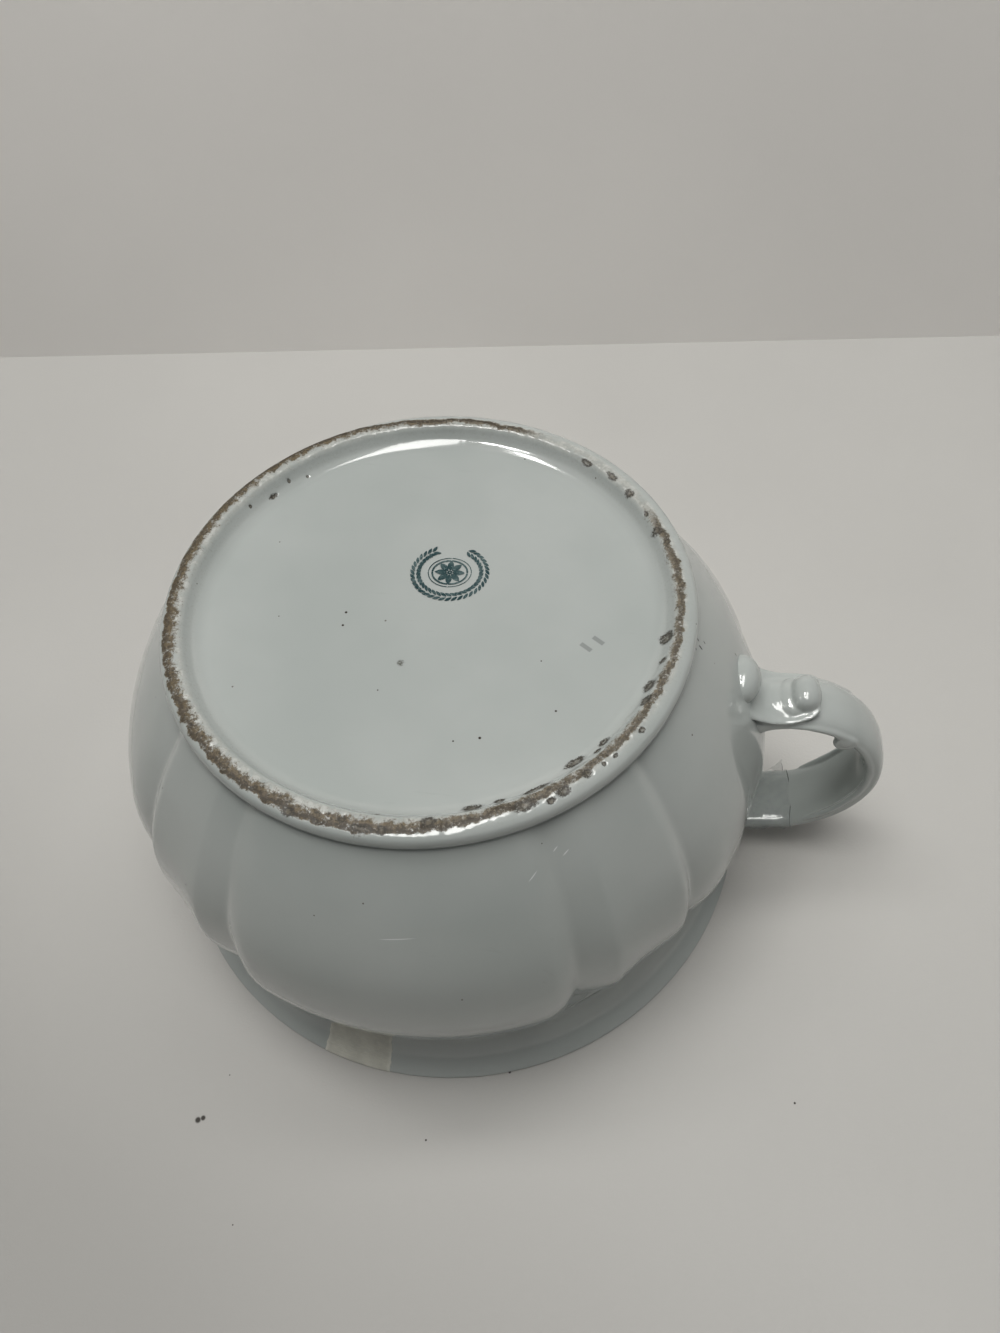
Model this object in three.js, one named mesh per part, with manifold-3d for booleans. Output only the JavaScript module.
// A one-handled ironstone china vessel, turned upside down so that it stands on its flared rim with
// its foot ring upwards. Millimetres, +Z up towards the foot, +X towards the handle.
// The pieces are the lobed wall, the base with its foot ring, the strap handle, a strip of paper
// tape on the rim and a clear film wrapped round the handle's lower limb.
import * as THREE from 'three';
import { mergeVertices } from 'three/addons/utils/BufferGeometryUtils.js';
import Module from 'manifold-3d';

const wasm = await Module();
wasm.setup();

// Driving dimensions.
const HEIGHT = 132;
const RIM_RADIUS = 109;
const NECK_RADIUS = 99.4;
const NECK_HEIGHT = 19;
const BELLY_RADIUS = 109.4;
const BELLY_HEIGHT = 64;
const SHOULDER_RADIUS = 80.2;
const SHOULDER_HEIGHT = 126;
const WALL = 5;
const LIP_ROUND = 1.5;
const FOOT_CREST_RADIUS = 76;
const FOOT_CREST_FLAT = 1.6;
const FOOT_RECESS = 6;
const FLOOR_THICKNESS = 5;
const FLOOR_FLAT_RADIUS = 64;
const JOINT_GAP = 0.3;
const ROUND_SEGMENTS = 120;
const WALL_STEPS = 13;

// Lobes of the belly, as angles from the middle of each flank.
const WIDE_LOBE_EDGE = 30;
const ARRIS = 37;
const FLUTE_EDGE = 54;
const VALLEY_DEPTH = 4.6;
const VALLEY_DEPTH_AT_FOOT = 2;

// Handle.
const STRAP_HALF_WIDTH = 9.5;
const STRAP_THICKNESS = 7;
const LOWER_FLARE = 0.2;

// Tape.
const TAPE_THICKNESS = 0.3;
const TAPE_AZIMUTH = -102;
const TAPE_SWEEP = 13;

const v2 = (r, z) => new THREE.Vector2(r, z);
const smoothstep = THREE.MathUtils.smoothstep;
const lerp = THREE.MathUtils.lerp;

// ---- Solids ----

function weld(geometry) {
  const welded = geometry.clone();
  welded.deleteAttribute('normal');
  welded.deleteAttribute('uv');
  return mergeVertices(welded, 1e-4);
}

function toSolid(geometry) {
  const welded = weld(geometry);
  return new wasm.Manifold(new wasm.Mesh({
    numProp: 3,
    vertProperties: new Float32Array(welded.attributes.position.array),
    triVerts: new Uint32Array(welded.index.array),
  }));
}

function toGeometry(solid) {
  const mesh = solid.getMesh();
  const geometry = new THREE.BufferGeometry();
  geometry.setAttribute('position', new THREE.BufferAttribute(mesh.vertProperties, 3));
  geometry.setIndex(new THREE.BufferAttribute(mesh.triVerts, 1));
  geometry.computeVertexNormals();
  return geometry;
}

// Revolves a closed outline of (radius, height) points about +Z.
function revolve(outline, segments = ROUND_SEGMENTS) {
  return new THREE.LatheGeometry(outline, segments).rotateX(Math.PI / 2);
}

function movePoints(geometry, move) {
  const position = geometry.attributes.position;
  const point = new THREE.Vector3();
  for (let i = 0; i < position.count; i += 1) {
    point.fromBufferAttribute(position, i);
    move(point);
    position.setXYZ(i, point.x, point.y, point.z);
  }
  return geometry;
}

// ---- Body: lobed wall with a flared rim ----

// 0 on a lobe's crest and 1 in a valley, by the angle in degrees from the handle.
function lobeFall(azimuth) {
  const fromFlank = Math.abs(Math.abs(azimuth) - 90);
  const rollOff = (distance, reach) => Math.max(0, 1 - distance / reach) ** 2;
  if (fromFlank <= WIDE_LOBE_EDGE) return rollOff(WIDE_LOBE_EDGE - fromFlank, 6);
  if (fromFlank >= FLUTE_EDGE) return rollOff(fromFlank - FLUTE_EDGE, 9);
  if (fromFlank <= ARRIS) {
    return lerp(1, 0.2, (fromFlank - WIDE_LOBE_EDGE) / (ARRIS - WIDE_LOBE_EDGE));
  }
  const across = (fromFlank - ARRIS) / (FLUTE_EDGE - ARRIS);
  const flute = 0.2 + 0.3 * Math.max(0, Math.sin(Math.PI * across / 0.8));
  return Math.max(flute, rollOff(FLUTE_EDGE - fromFlank, 5));
}

function lobeDepth(azimuth, z) {
  const depth = lerp(VALLEY_DEPTH_AT_FOOT, VALLEY_DEPTH, smoothstep(SHOULDER_HEIGHT - z, 0, 70));
  return depth * smoothstep(z, NECK_HEIGHT + 2, NECK_HEIGHT + 18) * lobeFall(azimuth);
}

function pressLobes(geometry) {
  return movePoints(geometry, (point) => {
    const radius = Math.hypot(point.x, point.y);
    const azimuth = THREE.MathUtils.radToDeg(Math.atan2(point.y, point.x));
    const pressed = (radius - lobeDepth(azimuth, point.z)) / radius;
    point.x *= pressed;
    point.y *= pressed;
  });
}

// The wall's outside from the lip up to the shoulder, moved out by grow.
function wallOutline(grow) {
  const curve = new THREE.SplineCurve([
    v2(RIM_RADIUS + grow, LIP_ROUND),
    v2(lerp(NECK_RADIUS, RIM_RADIUS, 0.36) + grow, NECK_HEIGHT * 0.4),
    v2(NECK_RADIUS + grow, NECK_HEIGHT),
    v2(lerp(NECK_RADIUS, BELLY_RADIUS, 0.47) + grow, 34),
    v2(lerp(NECK_RADIUS, BELLY_RADIUS, 0.85) + grow, 47),
    v2(BELLY_RADIUS + grow, BELLY_HEIGHT),
    v2(BELLY_RADIUS - 3.8 + grow, 84.5),
    v2(BELLY_RADIUS - 14.4 + grow, 105.5),
    v2(SHOULDER_RADIUS + grow, SHOULDER_HEIGHT),
  ]);
  return curve.getPoints(WALL_STEPS);
}

function makeBody() {
  const outside = wallOutline(0);
  const inside = wallOutline(-WALL).reverse();
  const lip = [v2(RIM_RADIUS - WALL + LIP_ROUND, 0), v2(RIM_RADIUS - LIP_ROUND, 0)];
  const outline = [...lip, ...outside, ...inside, lip[0]];
  return pressLobes(revolve(outline));
}

// ---- Base: foot ring round a recessed floor ----

function makeBase() {
  const floorTop = HEIGHT - FOOT_RECESS;
  const plugRadius = SHOULDER_RADIUS - WALL - VALLEY_DEPTH_AT_FOOT - 3;
  const seat = SHOULDER_HEIGHT + JOINT_GAP;
  const crestOut = FOOT_CREST_RADIUS + FOOT_CREST_FLAT / 2;
  const crestIn = FOOT_CREST_RADIUS - FOOT_CREST_FLAT / 2;
  const outerRound = new THREE.QuadraticBezierCurve(
    v2(SHOULDER_RADIUS - 0.5, seat + 1.5), v2(SHOULDER_RADIUS - 1, HEIGHT), v2(crestOut, HEIGHT));
  const cove = new THREE.QuadraticBezierCurve(
    v2(crestIn, HEIGHT), v2(FOOT_CREST_RADIUS - 5, floorTop), v2(FLOOR_FLAT_RADIUS, floorTop));
  const outline = [
    v2(0, floorTop - FLOOR_THICKNESS),
    v2(plugRadius, floorTop - FLOOR_THICKNESS),
    v2(plugRadius, seat),
    v2(SHOULDER_RADIUS - 0.3, seat),
    ...outerRound.getPoints(3),
    ...cove.getPoints(5),
    v2(0, floorTop),
  ];
  return revolve(outline, 72);
}

// ---- Handle: a scrolled strap ----

// The strap's middle line, from the neck out and up to the belly near the foot.
const STRAP_LINE = new THREE.CatmullRomCurve3([
  [95, 14], [106, 16.5], [117, 18.3], [128, 21], [138, 29], [145, 40.5], [148.2, 52.5],
  [146.3, 64], [140.3, 74.3], [131.5, 82], [121, 85], [110, 84.5], [101, 87], [93, 91],
].map(([x, z]) => new THREE.Vector3(x, 0, z)));

// A strap section: a shallow crown outside and rounded edges.
function strapSection(halfWidth, thickness) {
  const half = thickness / 2;
  const edge = half * 0.55;
  const section = new THREE.Shape();
  section.moveTo(-halfWidth, 0);
  section.quadraticCurveTo(-halfWidth, -edge, -halfWidth * 0.78, -half * 0.8);
  section.quadraticCurveTo(0, -half * 1.1, halfWidth * 0.78, -half * 0.8);
  section.quadraticCurveTo(halfWidth, -edge, halfWidth, 0);
  section.quadraticCurveTo(halfWidth, edge, halfWidth * 0.72, half * 0.9);
  section.quadraticCurveTo(0, half * 1.25, -halfWidth * 0.72, half * 0.9);
  section.quadraticCurveTo(-halfWidth, edge, -halfWidth, 0);
  return section;
}

// The lower limb is wider than the upper one.
function flareLowerLimb(geometry) {
  return movePoints(geometry, (point) => {
    point.y *= 1 + LOWER_FLARE * smoothstep(70 - point.z, 0, 35);
  });
}

function sweepStrap(line, halfWidth, thickness, steps) {
  const strap = new THREE.ExtrudeGeometry(strapSection(halfWidth, thickness), {
    steps, curveSegments: 3, bevelEnabled: false, extrudePath: line,
  });
  return flareLowerLimb(strap);
}

function makeBall(x, y, z, halfX, halfY, halfZ) {
  return new THREE.SphereGeometry(1, 14, 10).scale(halfX, halfY, halfZ).translate(x, y, z);
}

function makeHandle() {
  const rootScroll = makeBall(99, 0, 96, 5.5, 10.5, 10);
  const rootSwell = makeBall(103, 0, 84, 6.5, 9.2, 8);
  const knob = makeBall(119, 0, 90.5, 6, 7.2, 6);
  const curls = [-1, 1].map((side) => makeBall(134.5, side * 8.6, 80.5, 3.2, 2.2, 3.2));
  let solid = toSolid(sweepStrap(STRAP_LINE, STRAP_HALF_WIDTH, STRAP_THICKNESS, 34));
  for (const boss of [rootScroll, rootSwell, knob, ...curls]) solid = solid.add(toSolid(boss));
  return toGeometry(solid.subtract(grownWall()));
}

// The wall and everything within it, grown by the joint's gap: what the handle is cut back from.
function grownWall() {
  const outside = wallOutline(JOINT_GAP);
  const outline = [v2(0, LIP_ROUND), ...outside, v2(0, SHOULDER_HEIGHT)];
  return toSolid(pressLobes(revolve(outline)));
}

// ---- Tape ----

// A strip of paper tape laid down the flare of the rim, with its end over the lip.
function makeRimTape() {
  const start = JOINT_GAP;
  const flare = (grow) => wallOutline(grow).filter((p) => p.y < NECK_HEIGHT);
  const outline = [...flare(start + TAPE_THICKNESS), ...flare(start).reverse()];
  outline.push(outline[0]);
  const ring = toSolid(revolve(outline));
  const half = THREE.MathUtils.degToRad(TAPE_SWEEP / 2);
  const reach = RIM_RADIUS * 1.3;
  const wedge = new THREE.Shape([
    v2(0, 0),
    v2(reach * Math.cos(half), -reach * Math.sin(half)),
    v2(reach * Math.cos(half), reach * Math.sin(half)),
  ]);
  const cutter = new THREE.ExtrudeGeometry(wedge, { depth: 60, bevelEnabled: false });
  cutter.rotateZ(THREE.MathUtils.degToRad(TAPE_AZIMUTH)).translate(0, 0, -20);
  return toGeometry(ring.intersect(toSolid(cutter)));
}

// A clear film wrapped once round the strap's lower limb.
function makeHandleFilm() {
  const wrapped = new THREE.CatmullRomCurve3(
    [[110, 17], [118, 18.4], [127.5, 20.7]].map(([x, z]) => new THREE.Vector3(x, 0, z)));
  const overrun = new THREE.CatmullRomCurve3(
    [[107, 16.6], [110, 17], [118, 18.4], [127.5, 20.7], [130.5, 22]]
      .map(([x, z]) => new THREE.Vector3(x, 0, z)));
  const clear = JOINT_GAP + 0.35;
  const outer = sweepStrap(wrapped, STRAP_HALF_WIDTH + clear + TAPE_THICKNESS,
    STRAP_THICKNESS + 2 * (clear + TAPE_THICKNESS), 4);
  const inner = sweepStrap(overrun, STRAP_HALF_WIDTH + clear, STRAP_THICKNESS + 2 * clear, 8);
  return toGeometry(toSolid(outer).subtract(toSolid(inner)));
}

// ---- Assembly ----

const glaze = () => new THREE.MeshStandardMaterial({ color: 0xaab0ab, roughness: 0.15, metalness: 0 });
const paper = () => new THREE.MeshStandardMaterial({ color: 0xb5b3a4, roughness: 0.75, metalness: 0 });
const film = () => new THREE.MeshStandardMaterial({ color: 0xb9bdb8, roughness: 0.3, metalness: 0 });

function makePiece(name, geometry, material) {
  const mesh = new THREE.Mesh(geometry, material);
  mesh.name = name;
  return mesh;
}

const pot = new THREE.Group();
pot.add(makePiece('body', makeBody(), glaze()));
pot.add(makePiece('base', makeBase(), glaze()));
pot.add(makePiece('handle', makeHandle(), glaze()));
pot.add(makePiece('rim_tape', makeRimTape(), paper()));
pot.add(makePiece('handle_film', makeHandleFilm(), film()));

// The footprint, handle included, is centred on the origin, so the pot's own axis lies behind it.
const footprint = new THREE.Box3().setFromObject(pot, true).getCenter(new THREE.Vector3());
pot.position.x = -footprint.x;

const group = new THREE.Group();
group.add(pot);

export default group;
